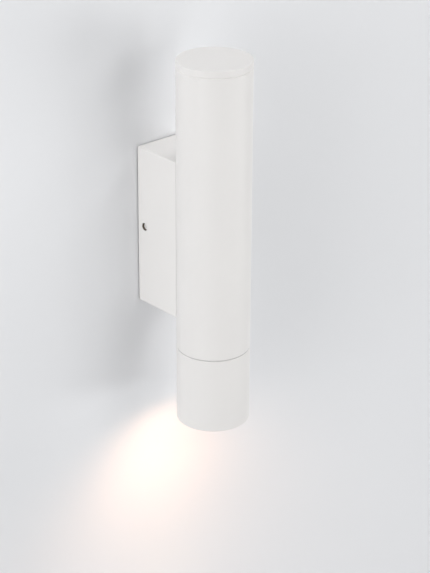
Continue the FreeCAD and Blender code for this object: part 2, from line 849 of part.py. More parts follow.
def make_top_cap():
    body = new_body("top_cap", wall_centre)
    section = new_sketch(body, "XZ_Plane")
    groove_low = f"({spigot_foot} + cap_spigot / 2 - groove_width / 2)"
    groove_high = f"({spigot_foot} + cap_spigot / 2 + groove_width / 2)"
    groove = f"({tube_bore} - ring_section - ring_squeeze)"
    inner = f"({push_radius} - cap_skin)"
    outline(section, [
        (inner, spigot_foot),
        (push_radius, spigot_foot),
        (push_radius, groove_low),
        (groove, groove_low),
        (groove, groove_high),
        (push_radius, groove_high),
        (push_radius, tube_top),
        (f"{tube_radius} - edge_break", tube_top),
        (tube_radius, f"{tube_top} + edge_break"),
        (tube_radius, "crown_above"),
        ("0", "crown_above"),
        ("0", "crown_above - cap_skin"),
        (inner, "crown_above - cap_skin"),
    ])
    turned = revolve(section)
    dress("Fillet", turned, "cap_round", lambda edge: is_ring(edge, tube_radius, "crown_above"))


def make_cap_ring():
    ring = primitive("Torus", {"Radius1": f"{tube_bore} - ring_section / 2 - ring_squeeze / 2",
                               "Radius2": "ring_section / 2 - ring_squeeze / 4"},
                     "0", wall_centre, f"{spigot_foot} + cap_spigot / 2")
    finish_part(ring, "cap_oring")


def make_lamp_carrier():
    # one turned piece: thread for the sleeve, web for the lampholder, skirt for the lower fixing screw
    body = new_body("lamp_carrier", wall_centre)
    section = new_sketch(body, "XZ_Plane")
    skirt_top = f"(carrier_cover - {fixing_level})"
    skirt_bore = f"({push_radius} - carrier_wall)"
    outline(section, [
        (carrier_bore, thread_foot),
        (f"{thread_radius} - edge_break", thread_foot),
        (thread_radius, f"{thread_foot} + edge_break"),
        (thread_radius, tube_foot),
        (push_radius, tube_foot),
        (push_radius, skirt_top),
        (skirt_bore, skirt_top),
        (skirt_bore, web_top),
        ("0", web_top),
        ("0", web_foot),
        (carrier_bore, web_foot),
    ])
    revolve(section)
    holes = new_sketch(body, "XY_Plane", web_foot)
    for side in ("-", ""):
        circle(holes, f"{side}tab_spacing / 2", "0", "tab_hole / 2")
        circle(holes, "0", f"{side}holder_screw_spacing / 2", "holder_screw / 2 + screw_fit")
    pocket(holes, "carrier_web", reverse=True)
    rear = new_sketch(body, "XZ_Plane")
    circle(rear, "0", f"-{fixing_level}", tapped_radius)
    pocket(rear, tube_radius)


# Lower sleeve and the ring in its seam

def make_seam_ring():
    body = new_body("seam_ring", wall_centre)
    section = new_sketch(body, "XZ_Plane")
    rectangle(section, f"{thread_radius} + slip_fit", f"{tube_radius} - seam_recess",
              f"{sleeve_top} + seam_seat", f"{tube_foot} - seam_seat")
    revolve(section)


def make_lower_sleeve():
    body = new_body("lower_sleeve", wall_centre)
    section = new_sketch(body, "XZ_Plane")
    threaded = f"({thread_radius} + thread_fit)"
    recess = f"({thread_foot} - thread_relief)"
    outline(section, [
        (tube_bore, "-rim_below"),
        (tube_radius, "-rim_below"),
        (tube_radius, f"{sleeve_top} - edge_break"),
        (f"{tube_radius} - edge_break", sleeve_top),
        (threaded, sleeve_top),
        (threaded, recess),
        (tube_bore, recess),
    ])
    turned = revolve(section)
    rims = (tube_radius, tube_bore)
    dress("Fillet", turned, "rim_round", lambda edge: any(is_ring(edge, rim, "-rim_below") for rim in rims))


# Lamp

lens_radius = "(lamp_diameter / 2 - bezel_width)"


def make_lamp_body():
    body = new_body("lamp_body", wall_centre)
    section = new_sketch(body, "XZ_Plane")
    bezel_top = f"({lamp_face} + bezel_height)"
    lamp_radius = "(lamp_diameter / 2)"
    outline(section, [
        ("0", f"{lamp_face} + lens_recess"),
        (f"{lens_radius} + slip_fit", f"{lamp_face} + lens_recess"),
        (f"{lens_radius} + slip_fit", lamp_face),
        (lamp_radius, lamp_face),
        (lamp_radius, bezel_top),
        (f"{lamp_radius} - bezel_step", bezel_top),
        ("shoulder_diameter / 2", f"{lamp_base} - shoulder_height"),
        ("lamp_neck / 2", f"{lamp_base} - neck_height"),
        ("lamp_neck / 2", lamp_base),
        ("0", lamp_base),
    ], bends={5: "lamp_bulge"})
    revolve(section)


def make_lamp_lens():
    body = new_body("lamp_lens", wall_centre)
    section = new_sketch(body, "XZ_Plane")
    top = f"({lamp_face} + lens_recess)"
    dome = f"(({lens_radius} ^ 2 + lens_crown ^ 2) / (2 * lens_crown))"
    outline(section, [
        ("0", f"{top} - lens_edge - lens_crown"),
        (lens_radius, f"{top} - lens_edge"),
        (lens_radius, top),
        ("0", top),
    ], bends={0: dome})
    revolve(section)


def make_lamp_pins():
    pins = []
    neck = "(pin_length - pin_head_height)"
    for side in ("-", ""):
        x = f"{side}pin_spacing / 2"
        shank = rod("pin_shank / 2", neck, x, wall_centre, lamp_base)
        head = rod("pin_head / 2", "pin_head_height", x, wall_centre, f"{lamp_base} + {neck}")
        pins.append(fuse([shank, head]))
    group(pins, "lamp_pins")


# Lampholder: a ceramic cup with two keyhole slots, and a back plate that carries the contacts

def key_slots():
    # each pin hangs in the narrow end of its slot and turns to the round end to come out
    arm = "(pin_spacing / 2)"
    narrow = "(pin_shank / 2 + key_fit)"
    wide = "(pin_head / 2 + entry_fit)"
    tools = []
    arms = ((1, Vector(0, 0, -1), "twist_angle"), (-1, Vector(0, 0, 1), "180 - twist_angle"))
    for side, axis, angle in arms:
        rings = []
        for radius in (f"{arm} + {narrow}", f"{arm} - {narrow}"):
            sector = primitive("Cylinder", {"Radius": radius, "Height": "holder_face_height",
                                            "Angle": "twist_angle"},
                               "0", wall_centre, holder_face, Rotation(axis, size(angle)))
            bind(sector, "Placement.Rotation.Angle", angle)
            rings.append(sector)
        tools.append(cut(rings[0], rings[1]))
        tools.append(rod(narrow, "holder_face_height", f"{side} * {arm}", wall_centre, holder_face))
        tools.append(rod(wide, "holder_face_height", f"{side} * {arm} * cos(twist_angle * 1 deg)",
                         f"{wall_centre} - {side} * {arm} * sin(twist_angle * 1 deg)", holder_face))
    return tools


def make_holder_body():
    cavity_foot = f"({holder_face} + holder_face_height)"
    cavity_height = "holder_height - holder_face_height"
    tools = key_slots()
    for side in (1, -1):
        left = "cavity_inner" if side > 0 else "-cavity_outer"
        low = "-cavity_behind" if side > 0 else "-cavity_ahead"
        tools.append(block("cavity_outer - cavity_inner", "cavity_ahead + cavity_behind", cavity_height,
                           left, f"{wall_centre} + {low}", cavity_foot))
        y = f"{wall_centre} + {side} * holder_screw_spacing / 2"
        tools.append(rod("holder_screw / 2 + screw_clearance", "holder_height", "0", y, holder_face))
        tools.append(rod("holder_head / 2 + screw_clearance", "holder_sink", "0", y, holder_face))
    stock = rod("holder_diameter / 2", "holder_height", "0", wall_centre, holder_face)
    finish_part(cut(stock, fuse(tools)), "holder_body")


def make_holder_back():
    tools = []
    for side in (1, -1):
        x = f"{side} * tab_spacing / 2"
        tools.append(block("tab_thickness + 2 * tab_fit", "tab_width + 2 * tab_fit", "holder_back_height",
                           f"{x} - tab_thickness / 2 - tab_fit", f"{wall_centre} - tab_width / 2 - tab_fit",
                           holder_joint))
        tools.append(rod("holder_screw / 2 + screw_clearance", "holder_back_height", "0",
                         f"{wall_centre} + {side} * holder_screw_spacing / 2", holder_joint))
    stock = rod("holder_diameter / 2", "holder_back_height", "0", wall_centre, holder_joint)
    finish_part(cut(stock, fuse(tools)), "holder_back")


def make_holder_contacts():
    # an angled strip each: the blade lies over the pin, the tab stands out of the back
    contacts = []
    foot = f"{pin_top} + blade_gap"
    for side in (1, -1):
        x = f"{side} * tab_spacing / 2 - tab_thickness / 2"
        tab = block("tab_thickness", "tab_width", "tab_height", x, f"{wall_centre} - tab_width / 2", foot)
        blade_left = "tab_spacing / 2 - blade_reach" if side > 0 else "-tab_spacing / 2"
        blade = block("blade_reach", "tab_width", "blade_thickness", blade_left,
                      f"{wall_centre} - tab_width / 2", foot)
        contacts.append(fuse([tab, blade]))
    group(contacts, "holder_contacts")


def make_holder_screws():
    screws = []
    for side in (1, -1):
        screws.append(screw("holder_head / 2", "holder_head_height", "holder_screw / 2",
                            "holder_screw_length", "holder_screw / 3",
                            "0", f"{wall_centre} + {side} * holder_screw_spacing / 2",
                            f"{holder_face} + holder_sink", upright))
    group(screws, "holder_screws")


def make_receptacles():
    # insulated push-on connectors on the contacts' tabs
    sleeves = []
    foot = f"({web_top} + receptacle_lift)"
    for side in (1, -1):
        x = f"{side} * tab_spacing / 2"
        stock = rod("receptacle_diameter / 2", "receptacle_length", x, wall_centre, foot)
        slot = block("tab_thickness + 2 * tab_fit", "tab_width + 2 * tab_fit", "receptacle_slot",
                     f"{x} - tab_thickness / 2 - tab_fit", f"{wall_centre} - tab_width / 2 - tab_fit", foot)
        bore = rod(f"{lead_radius} + lead_fit", "receptacle_length", x, wall_centre, foot)
        sleeves.append(cut(stock, fuse([slot, bore])))
    group(sleeves, "lead_sleeves")


def check_document():
    for item in doc.Objects:
        if "Invalid" in item.State or "Error" in item.State:
            raise ValueError(f"{item.Label} is {item.State}")
    for part in parts:
        if part.Shape.isNull() or not part.Shape.isValid() or part.Shape.Volume <= 0:
            raise ValueError(f"{part.Label} has no valid solid")


def write_parts():
    for part in parts:
        part.Shape.exportStep(f"parts/{part.Label}.step")
        print(f"{part.Label}: {len(part.Shape.Solids)} solid, {part.Shape.Volume / 1000:.2f} cm3")


make_gasket()
make_bracket()
make_grommet()
make_terminal_block()
make_terminal_barrels()
make_terminal_screws()
make_housing()
make_side_screws()
make_tube_screws()
make_tube_nut()
make_earth_screw()
make_earth_lug()
make_lead_bush()
make_leads()
make_upper_tube()
make_top_cap()
make_cap_ring()
make_lamp_carrier()
make_seam_ring()
make_lower_sleeve()
make_lamp_body()
make_lamp_lens()
make_lamp_pins()
make_holder_body()
make_holder_back()
make_holder_contacts()
make_holder_screws()
make_receptacles()
doc.recompute()
check_document()
write_parts()
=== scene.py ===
import math

import bmesh
import bpy
from mathutils import Matrix, Vector


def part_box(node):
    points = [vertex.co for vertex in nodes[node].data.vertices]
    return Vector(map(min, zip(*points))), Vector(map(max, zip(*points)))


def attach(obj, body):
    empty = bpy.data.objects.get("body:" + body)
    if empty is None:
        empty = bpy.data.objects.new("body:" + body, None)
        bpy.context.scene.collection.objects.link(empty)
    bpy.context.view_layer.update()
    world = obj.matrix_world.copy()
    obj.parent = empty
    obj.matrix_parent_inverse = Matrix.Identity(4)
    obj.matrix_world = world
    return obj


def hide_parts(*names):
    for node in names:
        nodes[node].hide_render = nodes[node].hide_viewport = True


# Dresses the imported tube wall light: finishes for every piece, a cut thread on the lamp carrier,
# a ribbed lens in the lamp, and a plain wall, floor, light and camera around it.
# Metres, in the part's own frame: the wall face is y = 0 and the tube stands in front of it.
# Pieces and finishes are given in millimetres; wall, lights and camera in metres.

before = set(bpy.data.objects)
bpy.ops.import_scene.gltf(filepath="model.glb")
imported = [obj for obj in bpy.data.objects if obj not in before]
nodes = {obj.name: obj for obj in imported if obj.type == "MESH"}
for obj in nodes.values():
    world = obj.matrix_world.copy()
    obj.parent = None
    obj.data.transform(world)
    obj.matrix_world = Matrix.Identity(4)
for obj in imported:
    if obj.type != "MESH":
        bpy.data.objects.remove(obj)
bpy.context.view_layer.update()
tubeAxis = Vector((0, -0.067, 0))
mm = 0.001
print("loaded", len(nodes), "nodes")


# Materials: patterns sit on Object coordinates, in metres, and are sized in millimetres

def linear(hexColour):
    # sRGB hex to the linear colour that a shader takes
    channels = [int(hexColour[i:i + 2], 16) / 255 for i in (1, 3, 5)]
    return [c / 12.92 if c <= 0.04045 else ((c + 0.055) / 1.055) ** 2.4 for c in channels] + [1]


def perMetre(sizeInMm):
    # the texture scale that gives a pattern of this size
    return 1000 / sizeInMm


def addNode(tree, kind, settings=None, values=None, links=None):
    node = tree.nodes.new(kind)
    for name, value in (settings or {}).items():
        setattr(node, name, value)
    for socket, value in (values or {}).items():
        node.inputs[socket].default_value = value
    for socket, source in (links or {}).items():
        tree.links.new(source, node.inputs[socket])
    return node


def startMaterial(name):
    # an empty material with its object coordinates and its principled shader
    material = bpy.data.materials.new(name)
    material.use_nodes = True
    tree = material.node_tree
    tree.nodes.clear()
    place = addNode(tree, "ShaderNodeTexCoord").outputs["Object"]
    shader = addNode(tree, "ShaderNodeBsdfPrincipled")
    addNode(tree, "ShaderNodeOutputMaterial", links={"Surface": shader.outputs["BSDF"]})
    return material, tree, place, shader


def setShader(tree, shader, values, links):
    for socket, value in values.items():
        shader.inputs[socket].default_value = value
    for socket, source in links.items():
        tree.links.new(source, shader.inputs[socket])


def polyesterPowderCoat():
    # polyester powder, sprayed dry and baked on aluminium: warm white, satin, with a faint
    # orange peel of 2.5 mm and the fine grain of the powder
    look = {"colour": "#e7e5e3", "worn": "#e3e1df", "roughness": (0.44, 0.52),
            "cloud": 40, "peel": 2.5, "peelHeight": 0.006, "grain": 0.45, "grainHeight": 0.005}
    material, tree, place, shader = startMaterial("polyesterPowderCoat")
    cloud = addNode(tree, "ShaderNodeTexNoise", values={"Scale": perMetre(look["cloud"]), "Detail": 3},
                    links={"Vector": place})
    colour = addNode(tree, "ShaderNodeMix", {"data_type": "RGBA"},
                     {6: linear(look["colour"]), 7: linear(look["worn"])}, {0: cloud.outputs["Fac"]})
    grain = addNode(tree, "ShaderNodeTexNoise", values={"Scale": perMetre(look["grain"]), "Detail": 2},
                    links={"Vector": place})
    sheen = addNode(tree, "ShaderNodeMapRange",
                    values={"To Min": look["roughness"][0], "To Max": look["roughness"][1]},
                    links={"Value": grain.outputs["Fac"]})
    peel = addNode(tree, "ShaderNodeTexNoise", values={"Scale": perMetre(look["peel"]), "Detail": 1},
                   links={"Vector": place})
    wavy = addNode(tree, "ShaderNodeBump", values={"Distance": look["peelHeight"] * mm},
                   links={"Height": peel.outputs["Fac"]})
    fine = addNode(tree, "ShaderNodeBump", values={"Distance": look["grainHeight"] * mm},
                   links={"Height": grain.outputs["Fac"], "Normal": wavy.outputs["Normal"]})
    setShader(tree, shader, {"IOR": 1.5, "Specular IOR Level": 0.5},
              {"Base Color": colour.outputs[2], "Roughness": sheen.outputs["Result"],
               "Normal": fine.outputs["Normal"]})
    return material


def coatAndPaintedShade():
    # the housing: the same coat on its outer faces, and a dull brown-grey in its holes and inside,
    # in place of the coat, which is painted shade for the dark screw recesses
    look = {"paintedShade": "#74685a", "paintedShadeDeep": "#675c50", "metallic": 0.3, "roughness": 0.6,
            "cloud": 4, "skinHeight": 0.02, "coatDepth": 0.3, "halfSize": (22.5, 67.5)}
    material = polyesterPowderCoat()
    material.name = "coatAndPaintedShade"
    tree = material.node_tree
    place = next(node for node in tree.nodes if node.type == "TEX_COORD").outputs["Object"]
    output = next(node for node in tree.nodes if node.type == "OUTPUT_MATERIAL")
    coat = output.inputs["Surface"].links[0].from_socket
    apart = addNode(tree, "ShaderNodeSeparateXYZ", links={"Vector": place})
    # the mask takes everything but the outer faces; inside it the shade is painted
    shadeMask = None
    for axis, half in zip("XZ", look["halfSize"]):
        away = addNode(tree, "ShaderNodeMath", {"operation": "ABSOLUTE"}, links={0: apart.outputs[axis]})
        inside = addNode(tree, "ShaderNodeMath", {"operation": "LESS_THAN"},
                         {1: (half - look["coatDepth"]) * mm}, {0: away.outputs["Value"]})
        shadeMask = inside.outputs["Value"] if shadeMask is None else addNode(
            tree, "ShaderNodeMath", {"operation": "MULTIPLY"},
            links={0: shadeMask, 1: inside.outputs["Value"]}).outputs["Value"]
    # the painted shade: a dark brown-grey with a slight cloud, slightly metallic
    cloud = addNode(tree, "ShaderNodeTexNoise", values={"Scale": perMetre(look["cloud"]), "Detail": 3},
                    links={"Vector": place})
    colour = addNode(tree, "ShaderNodeMix", {"data_type": "RGBA"},
                     {6: linear(look["paintedShade"]), 7: linear(look["paintedShadeDeep"])}, {0: cloud.outputs["Fac"]})
    skin = addNode(tree, "ShaderNodeBump", values={"Distance": look["skinHeight"] * mm},
                   links={"Height": cloud.outputs["Fac"]})
    paintedShade = addNode(tree, "ShaderNodeBsdfPrincipled")
    setShader(tree, paintedShade, {"Metallic": look["metallic"], "Roughness": look["roughness"]},
              {"Base Color": colour.outputs[2], "Normal": skin.outputs["Normal"]})
    # painted shade inside the mask, the coat outside it
    blend = addNode(tree, "ShaderNodeMixShader",
                    links={0: shadeMask, 1: coat, 2: paintedShade.outputs["BSDF"]})
    tree.links.new(blend.outputs["Shader"], output.inputs["Surface"])
    return material


def plainMetal(name, colours, roughness, grainSize, grainStretch, grainHeight):
    # a metal whose grain is drawn out one way, as rolling, drawing or turning leaves it, under a
    # slight bloom
    bloomSize = 6
    material, tree, place, shader = startMaterial(name)
    drawn = addNode(tree, "ShaderNodeMapping", values={"Scale": grainStretch}, links={"Vector": place})
    grain = addNode(tree, "ShaderNodeTexNoise", values={"Scale": perMetre(grainSize), "Detail": 4},
                    links={"Vector": drawn.outputs["Vector"]})
    cloud = addNode(tree, "ShaderNodeTexNoise", values={"Scale": perMetre(bloomSize), "Detail": 3},
                    links={"Vector": place})
    colour = addNode(tree, "ShaderNodeMix", {"data_type": "RGBA"},
                     {6: linear(colours[0]), 7: linear(colours[1])}, {0: cloud.outputs["Fac"]})
    sheen = addNode(tree, "ShaderNodeMapRange",
                    values={"To Min": roughness[0], "To Max": roughness[1]},
                    links={"Value": grain.outputs["Fac"]})
    ridges = addNode(tree, "ShaderNodeBump", values={"Distance": grainHeight * mm},
                     links={"Height": grain.outputs["Fac"]})
    setShader(tree, shader, {"Metallic": 1},
              {"Base Color": colour.outputs[2], "Roughness": sheen.outputs["Result"],
               "Normal": ridges.outputs["Normal"]})
    return material


def zincPlatedSteel():
    # cold-rolled sheet, bright zinc plated: cool grey with upright rolling lines
    return plainMetal("zincPlatedSteel", ("#c9ccd1", "#b9bdc4"), (0.28, 0.45), 0.5, (1, 1, 0.06), 0.004)


def zincPlatedScrews():
    # cold-headed screws, bright zinc plated: the same plating without rolling lines
    return plainMetal("zincPlatedScrews", ("#c6c8cb", "#aeb1b5"), (0.25, 0.42), 0.4, (1, 1, 1), 0.003)


def rolledBrass():
    # rolled and drawn brass, left bare: yellow with a little brown bloom
    return plainMetal("rolledBrass", ("#d6b56a", "#c09a52"), (0.26, 0.42), 0.4, (1, 1, 0.2), 0.003)


def tinnedCopper():
    # pressed copper, hot tinned: pale and slightly warm, softly lumpy
    return plainMetal("tinnedCopper", ("#cfcac0", "#b8b2a6"), (0.3, 0.48), 0.8, (1, 1, 1), 0.008)


def nickelPlatedBrass():
    # turned brass pins, nickel plated: bright and faintly yellow
    return plainMetal("nickelPlatedBrass", ("#d3cec2", "#c4beb1"), (0.16, 0.28), 0.3, (0.2, 0.2, 1), 0.002)


def turnedAluminium():
    # bar aluminium turned on a lathe: fine rings across the axis, one for each 0.2 mm of feed;
    # a wave texture turns 20 radians in each unit, so a ring is 2 pi / 20 of one
    look = {"colours": ("#d2d4d7", "#c1c4c8"), "roughness": (0.26, 0.4), "cloud": 8,
            "feed": 0.2, "waver": 0.6, "ringHeight": 0.004}
    ringPerUnit = 2 * math.pi / 20
    material, tree, place, shader = startMaterial("turnedAluminium")
    rings = addNode(tree, "ShaderNodeTexWave", {"bands_direction": "Z"},
                    {"Scale": perMetre(look["feed"]) * ringPerUnit, "Distortion": look["waver"],
                     "Detail": 1}, {"Vector": place})
    cloud = addNode(tree, "ShaderNodeTexNoise", values={"Scale": perMetre(look["cloud"]), "Detail": 3},
                    links={"Vector": place})
    colour = addNode(tree, "ShaderNodeMix", {"data_type": "RGBA"},
                     {6: linear(look["colours"][0]), 7: linear(look["colours"][1])},
                     {0: cloud.outputs["Fac"]})
    sheen = addNode(tree, "ShaderNodeMapRange",
                    values={"To Min": look["roughness"][0], "To Max": look["roughness"][1]},
                    links={"Value": rings.outputs["Fac"]})
    ridges = addNode(tree, "ShaderNodeBump", values={"Distance": look["ringHeight"] * mm},
                     links={"Height": rings.outputs["Fac"]})
    setShader(tree, shader, {"Metallic": 1},
              {"Base Color": colour.outputs[2], "Roughness": sheen.outputs["Result"],
               "Normal": ridges.outputs["Normal"]})
    return material


def mouldedPart(name, colours, roughness, speckleSize, bumpHeight, settings):
    # a moulded or pressed body: even colour with a slight cloud, and the mould's own fine texture
    cloudSize = 9
    material, tree, place, shader = startMaterial(name)
    cloud = addNode(tree, "ShaderNodeTexNoise", values={"Scale": perMetre(cloudSize), "Detail": 4},
                    links={"Vector": place})
    speckle = addNode(tree, "ShaderNodeTexNoise", values={"Scale": perMetre(speckleSize), "Detail": 3},
                      links={"Vector": place})
    colour = addNode(tree, "ShaderNodeMix", {"data_type": "RGBA"},
                     {6: linear(colours[0]), 7: linear(colours[1])}, {0: cloud.outputs["Fac"]})
    sheen = addNode(tree, "ShaderNodeMapRange",
                    values={"To Min": roughness[0], "To Max": roughness[1]},
                    links={"Value": speckle.outputs["Fac"]})
    rough = addNode(tree, "ShaderNodeBump", values={"Distance": bumpHeight * mm},
                    links={"Height": speckle.outputs["Fac"]})
    setShader(tree, shader, settings,
              {"Base Color": colour.outputs[2], "Roughness": sheen.outputs["Result"],
               "Normal": rough.outputs["Normal"]})
    return material


def mouldedSilicone():
    # silicone rubber out of a polished mould: matt black that greys a little with handling
    return mouldedPart("mouldedSilicone", ("#2a2a2c", "#343436"), (0.6, 0.75), 0.5, 0.006, {"IOR": 1.41})


def whiteSilicone():
    # moulded silicone, matt, coloured close to the coat but greyer: the extra grey is painted shade for the
    # seam groove
    return mouldedPart("whiteSilicone", ("#c9c7c6", "#c2c0bf"), (0.6, 0.75), 0.5, 0.006, {"IOR": 1.41})


def mouldedNylon():
    # natural nylon, injection moulded: milky white, slightly see-through at thin walls
    return mouldedPart("mouldedNylon", ("#e4e2d8", "#dad8cd"), (0.4, 0.52), 0.7, 0.005,
                       {"IOR": 1.53, "Subsurface Weight": 0.15, "Subsurface Scale": 0.0015})


def mouldedLampHousing():
    # white polyester, injection moulded: a clean, slightly glossy white
    return mouldedPart("mouldedLampHousing", ("#edece7", "#e6e5df"), (0.3, 0.38), 1.2, 0.004, {"IOR": 1.57})


def pressedSteatite():
    # steatite powder, pressed and fired without glaze: chalky cream with a fine tooth
    return mouldedPart("pressedSteatite", ("#e6dfd0", "#d8d0bf"), (0.62, 0.78), 0.3, 0.015, {"IOR": 1.56})


def extrudedSleeving():
    # natural nylon connector covers: milky and half clear
    return mouldedPart("extrudedSleeving", ("#dedcd4", "#d2d0c8"), (0.25, 0.35), 0.8, 0.003,
                       {"IOR": 1.53, "Transmission Weight": 0.35})


def siliconeInsulation(name, colours):
    # extruded silicone insulation: soft gloss, colour all through
    return mouldedPart(name, colours, (0.42, 0.55), 0.6, 0.004, {"IOR": 1.41})


def stripedInsulation():
    # extruded silicone with a yellow stripe along each side of the green; the lead lies in the
    # plane x = 0, so its stripes lie where x is near nothing
    look = {"green": "#3f8f35", "yellow": "#e0c62c", "stripeHalf": 0.45, "skin": 0.6,
            "skinHeight": 0.004, "roughness": 0.48}
    material, tree, place, shader = startMaterial("stripedInsulation")
    apart = addNode(tree, "ShaderNodeSeparateXYZ", links={"Vector": place})
    away = addNode(tree, "ShaderNodeMath", {"operation": "ABSOLUTE"}, links={0: apart.outputs["X"]})
    stripe = addNode(tree, "ShaderNodeMath", {"operation": "LESS_THAN"},
                     {1: look["stripeHalf"] * mm}, {0: away.outputs["Value"]})
    colour = addNode(tree, "ShaderNodeMix", {"data_type": "RGBA"},
                     {6: linear(look["green"]), 7: linear(look["yellow"])}, {0: stripe.outputs["Value"]})
    skin = addNode(tree, "ShaderNodeTexNoise", values={"Scale": perMetre(look["skin"]), "Detail": 2},
                   links={"Vector": place})
    rough = addNode(tree, "ShaderNodeBump", values={"Distance": look["skinHeight"] * mm},
                    links={"Height": skin.outputs["Fac"]})
    setShader(tree, shader, {"Roughness": look["roughness"], "IOR": 1.41},
              {"Base Color": colour.outputs[2], "Normal": rough.outputs["Normal"]})
    return material


def foamRubber():
    # closed-cell foam strip, cut from sheet: dull black with open cells of about 0.4 mm
    look = {"skin": "#37373a", "cell": "#19191b", "cellSize": 0.4, "cellDepth": 0.08}
    material, tree, place, shader = startMaterial("foamRubber")
    cells = addNode(tree, "ShaderNodeTexVoronoi", values={"Scale": perMetre(look["cellSize"])},
                    links={"Vector": place})
    colour = addNode(tree, "ShaderNodeMix", {"data_type": "RGBA"},
                     {6: linear(look["cell"]), 7: linear(look["skin"])}, {0: cells.outputs["Distance"]})
    pits = addNode(tree, "ShaderNodeBump", values={"Distance": look["cellDepth"] * mm},
                   links={"Height": cells.outputs["Distance"]})
    setShader(tree, shader, {"Roughness": 0.85, "IOR": 1.45},
              {"Base Color": colour.outputs[2], "Normal": pits.outputs["Normal"]})
    return material


def frostedPolycarbonate():
    # moulded polycarbonate lens, frosted inside and lit from behind: warm white, with a soft
    # cell pattern of 2.4 mm from its lens texture
    look = {"colour": "#fbf3e2", "roughness": 0.35, "glow": "#ffe9c8", "glowStrength": 1.1,
            "cell": 2.4, "cellHeight": 0.05, "uneven": 0.25}
    material, tree, place, shader = startMaterial("frostedPolycarbonate")
    cells = addNode(tree, "ShaderNodeTexVoronoi", {"feature": "SMOOTH_F1"},
                    {"Scale": perMetre(look["cell"]), "Randomness": look["uneven"]},
                    {"Vector": place})
    glow = addNode(tree, "ShaderNodeMix", {"data_type": "RGBA"},
                   {6: linear(look["glow"]), 7: linear(look["colour"])}, {0: cells.outputs["Distance"]})
    domes = addNode(tree, "ShaderNodeBump", values={"Distance": look["cellHeight"] * mm},
                    links={"Height": cells.outputs["Distance"]})
    setShader(tree, shader, {"Base Color": linear(look["colour"]), "Roughness": look["roughness"],
                             "IOR": 1.58, "Emission Strength": look["glowStrength"]},
              {"Emission Color": glow.outputs[2], "Normal": domes.outputs["Normal"]})
    return material


powder = polyesterPowderCoat()
zinc = zincPlatedSteel()
brightScrews = zincPlatedScrews()
brass = rolledBrass()
aluminium = turnedAluminium()
silicone = mouldedSilicone()
steatite = pressedSteatite()
lensPlastic = frostedPolycarbonate()
nodeFinish = {
    "wall_gasket": foamRubber(), "wall_bracket": zinc, "cable_grommet": silicone,
    "terminal_block": mouldedNylon(), "terminal_barrels": brass, "terminal_screws": brightScrews,
    "box_housing": coatAndPaintedShade(), "side_screws": powder, "tube_screws": brightScrews,
    "tube_washers": brightScrews, "tube_nut": aluminium, "earth_screw": brass,
    "earth_lug": tinnedCopper(), "lead_bush": silicone,
    "live_lead": siliconeInsulation("brownInsulation", ("#5b321d", "#4d2a19")),
    "neutral_lead": siliconeInsulation("blueInsulation", ("#2a66b8", "#235aa6")),
    "earth_lead": stripedInsulation(),
    "upper_tube": powder, "top_cap": powder, "cap_oring": silicone, "lamp_carrier": aluminium,
    "seam_ring": whiteSilicone(), "lower_sleeve": powder,
    "lamp_body": mouldedLampHousing(), "lamp_lens": lensPlastic, "lamp_pins": nickelPlatedBrass(),
    "holder_body": steatite, "holder_back": steatite, "holder_contacts": brass,
    "holder_screws": brightScrews, "lead_sleeves": extrudedSleeving(),
}
for nodeName, finish in nodeFinish.items():
    nodes[nodeName].data.materials.clear()
    nodes[nodeName].data.materials.append(finish)
print("finishes on", len(nodeFinish), "nodes")


# Mesh steps that the new pieces share

def pick(chosen):
    # makes only these objects selected, the first of them active
    bpy.ops.object.select_all(action="DESELECT")
    for piece in chosen:
        piece.select_set(True)
    bpy.context.view_layer.objects.active = chosen[0]


def selectVertices(piece, test):
    # selects in edit mode the vertices that the test takes, and what lies between them
    mesh = bmesh.from_edit_mesh(piece.data)
    bpy.ops.mesh.select_all(action="DESELECT")
    bpy.ops.mesh.select_mode(type="VERT")
    for vertex in mesh.verts:
        vertex.select_set(test(vertex.co))
    mesh.select_flush(True)
    bmesh.update_edit_mesh(piece.data)


def applyPlace(piece):
    # puts the piece's place into its mesh, with its object at the origin
    pick([piece])
    bpy.ops.object.transform_apply(location=True, rotation=True, scale=True)


def applyModifiers(piece):
    pick([piece])
    for modifier in list(piece.modifiers):
        bpy.ops.object.modifier_apply(modifier=modifier.name)


